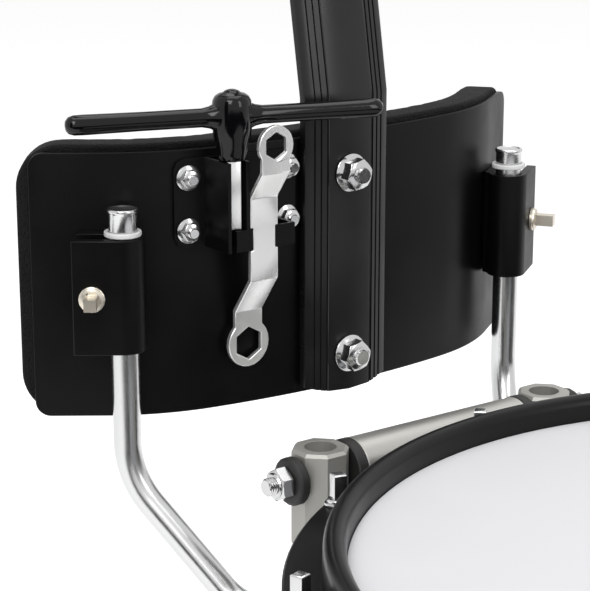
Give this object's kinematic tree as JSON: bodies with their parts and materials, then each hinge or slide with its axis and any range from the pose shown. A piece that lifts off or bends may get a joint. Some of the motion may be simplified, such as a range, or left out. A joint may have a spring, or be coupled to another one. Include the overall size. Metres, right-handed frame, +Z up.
{
  "type": "marching snare drum",
  "caption": "Marching snare drum hooked on its player's carrier, with strainer, rod hooks, belly plate, pads, tuning key and wrench.",
  "frame": {"origin": "centre of the bounding box, on the plane that the bottom hoop stands on", "axes": "+Z up along the drum's axis, +Y from the drum to the player, X across the carrier"},
  "size_m": [0.4114, 0.7544, 0.7871],
  "materials": {
    "shell_lacquer": "gloss lacquer",
    "black_coated_metal": "satin black coating on aluminium",
    "white_film": "matt film",
    "chrome": "polished",
    "nickel": "nickel plated",
    "satin_aluminium": "satin",
    "black_rubber": "matt",
    "black_vinyl": "glossy dip coating",
    "black_foam": "open-pored foam",
    "white_nylon": "satin"
  },
  "bodies": {
    "drum": {"drum_shell": "shell_lacquer", "batter_head": "white_film", "snare_head": "white_film", "top_hoop": "black_coated_metal", "bottom_hoop": "black_coated_metal", "lug_01": "black_coated_metal", "lug_02": "black_coated_metal", "lug_03": "black_coated_metal", "lug_04": "black_coated_metal", "lug_05": "black_coated_metal", "lug_06": "black_coated_metal", "lug_07": "black_coated_metal", "lug_08": "black_coated_metal", "lug_09": "black_coated_metal", "lug_10": "black_coated_metal", "lug_11": "black_coated_metal", "lug_12": "black_coated_metal", "snare_wires": "chrome", "strainer_body": "black_coated_metal", "butt_plate": "black_coated_metal", "mount_bracket": "black_coated_metal", "stabiliser_tube": "satin_aluminium", "receiver_post_left": "satin_aluminium", "receiver_post_right": "satin_aluminium", "through_bolt": "chrome", "rubber_washer_left": "black_rubber", "rubber_washer_right": "black_rubber"},
    "rod_left": {"hooked_rod_left": "chrome"},
    "rod_right": {"hooked_rod_right": "chrome"},
    "carrier": {"belly_plate": "black_coated_metal", "belly_pad": "black_foam", "spine_bar": "black_coated_metal", "spine_bolt_upper": "chrome", "spine_bolt_lower": "chrome", "rod_clamp_left": "black_coated_metal", "rod_clamp_right": "black_coated_metal", "rod_collar_left": "white_nylon", "rod_collar_right": "white_nylon", "key_holder": "black_coated_metal", "harness_frame": "black_coated_metal", "shoulder_pad_left": "black_foam", "shoulder_pad_right": "black_foam"},
    "screw_left": {"clamp_screw_left": "nickel"},
    "screw_right": {"clamp_screw_right": "nickel"},
    "key": {"tuning_key": "black_vinyl"},
    "wrench_body": {"wrench": "chrome"},
    "lever": {"strainer_lever": "chrome"},
    "knob": {"strainer_knob": "chrome"},
    "tension_rod_01_body": {"tension_rod_01": "chrome"},
    "tension_rod_02_body": {"tension_rod_02": "chrome"},
    "tension_rod_03_body": {"tension_rod_03": "chrome"},
    "tension_rod_04_body": {"tension_rod_04": "chrome"},
    "tension_rod_05_body": {"tension_rod_05": "chrome"},
    "tension_rod_06_body": {"tension_rod_06": "chrome"},
    "tension_rod_07_body": {"tension_rod_07": "chrome"},
    "tension_rod_08_body": {"tension_rod_08": "chrome"},
    "tension_rod_09_body": {"tension_rod_09": "chrome"},
    "tension_rod_10_body": {"tension_rod_10": "chrome"},
    "tension_rod_11_body": {"tension_rod_11": "chrome"},
    "tension_rod_12_body": {"tension_rod_12": "chrome"}
  },
  "joints": [
    {"name": "unhook_left", "type": "slide", "parent": "drum", "child": "rod_left", "axis": [0, 0, 1], "range_m": [-0.03, 0]},
    {"name": "unhook_right", "type": "slide", "parent": "drum", "child": "rod_right", "axis": [0, 0, 1], "range_m": [-0.03, 0]},
    {"name": "carrier_height", "type": "slide", "parent": "rod_left", "child": "carrier", "axis": [0, 0, 1], "range_m": [-0.033, 0.005]},
    {"name": "clamp_screw_left_turn", "type": "hinge", "parent": "carrier", "child": "screw_left", "pos_m": [-0.12498, 0.14629, 0.3725], "axis": [-0.5814, -0.8136, 0], "continuous": true},
    {"name": "clamp_screw_right_turn", "type": "hinge", "parent": "carrier", "child": "screw_right", "pos_m": [0.12498, 0.14629, 0.3725], "axis": [0.5814, -0.8136, 0], "continuous": true},
    {"name": "key_lift", "type": "slide", "parent": "carrier", "child": "key", "axis": [0, 0, 1], "range_m": [0, 0.045]},
    {"name": "wrench_out", "type": "slide", "parent": "carrier", "child": "wrench_body", "axis": [0, -1, 0], "range_m": [0, 0.02]},
    {"name": "strainer_lever_turn", "type": "hinge", "parent": "drum", "child": "lever", "pos_m": [-0.19222, -0.22286, 0.092], "axis": [0.2588, -0.9659, 0], "range_deg": [0, 100]},
    {"name": "strainer_knob_turn", "type": "hinge", "parent": "drum", "child": "knob", "pos_m": [-0.17966, -0.21949, 0.124], "axis": [0, 0, 1], "continuous": true},
    {"name": "tension_rod_01_turn", "type": "hinge", "parent": "drum", "child": "tension_rod_01_body", "pos_m": [0.1987, -0.17136, 0.3], "axis": [0, 0, 1], "continuous": true},
    {"name": "tension_rod_02_turn", "type": "hinge", "parent": "drum", "child": "tension_rod_02_body", "pos_m": [0.17208, -0.072, 0.3], "axis": [0, 0, 1], "continuous": true},
    {"name": "tension_rod_03_turn", "type": "hinge", "parent": "drum", "child": "tension_rod_03_body", "pos_m": [0.09935, 0.00072, 0.3], "axis": [0, 0, 1], "continuous": true},
    {"name": "tension_rod_04_turn", "type": "hinge", "parent": "drum", "child": "tension_rod_04_body", "pos_m": [0, 0.02735, 0.3], "axis": [0, 0, 1], "continuous": true},
    {"name": "tension_rod_05_turn", "type": "hinge", "parent": "drum", "child": "tension_rod_05_body", "pos_m": [-0.09935, 0.00072, 0.3], "axis": [0, 0, 1], "continuous": true},
    {"name": "tension_rod_06_turn", "type": "hinge", "parent": "drum", "child": "tension_rod_06_body", "pos_m": [-0.17208, -0.072, 0.3], "axis": [0, 0, 1], "continuous": true},
    {"name": "tension_rod_07_turn", "type": "hinge", "parent": "drum", "child": "tension_rod_07_body", "pos_m": [-0.1987, -0.17136, 0.3], "axis": [0, 0, 1], "continuous": true},
    {"name": "tension_rod_08_turn", "type": "hinge", "parent": "drum", "child": "tension_rod_08_body", "pos_m": [-0.17208, -0.2707, 0.3], "axis": [0, 0, 1], "continuous": true},
    {"name": "tension_rod_09_turn", "type": "hinge", "parent": "drum", "child": "tension_rod_09_body", "pos_m": [-0.09935, -0.34343, 0.3], "axis": [0, 0, 1], "continuous": true},
    {"name": "tension_rod_10_turn", "type": "hinge", "parent": "drum", "child": "tension_rod_10_body", "pos_m": [0, -0.37006, 0.3], "axis": [0, 0, 1], "continuous": true},
    {"name": "tension_rod_11_turn", "type": "hinge", "parent": "drum", "child": "tension_rod_11_body", "pos_m": [0.09935, -0.34343, 0.3], "axis": [0, 0, 1], "continuous": true},
    {"name": "tension_rod_12_turn", "type": "hinge", "parent": "drum", "child": "tension_rod_12_body", "pos_m": [0.17208, -0.2707, 0.3], "axis": [0, 0, 1], "continuous": true}
  ],
  "couplings": [
    {"joint": "unhook_right", "follows": "unhook_left", "ratio": 1}
  ]
}
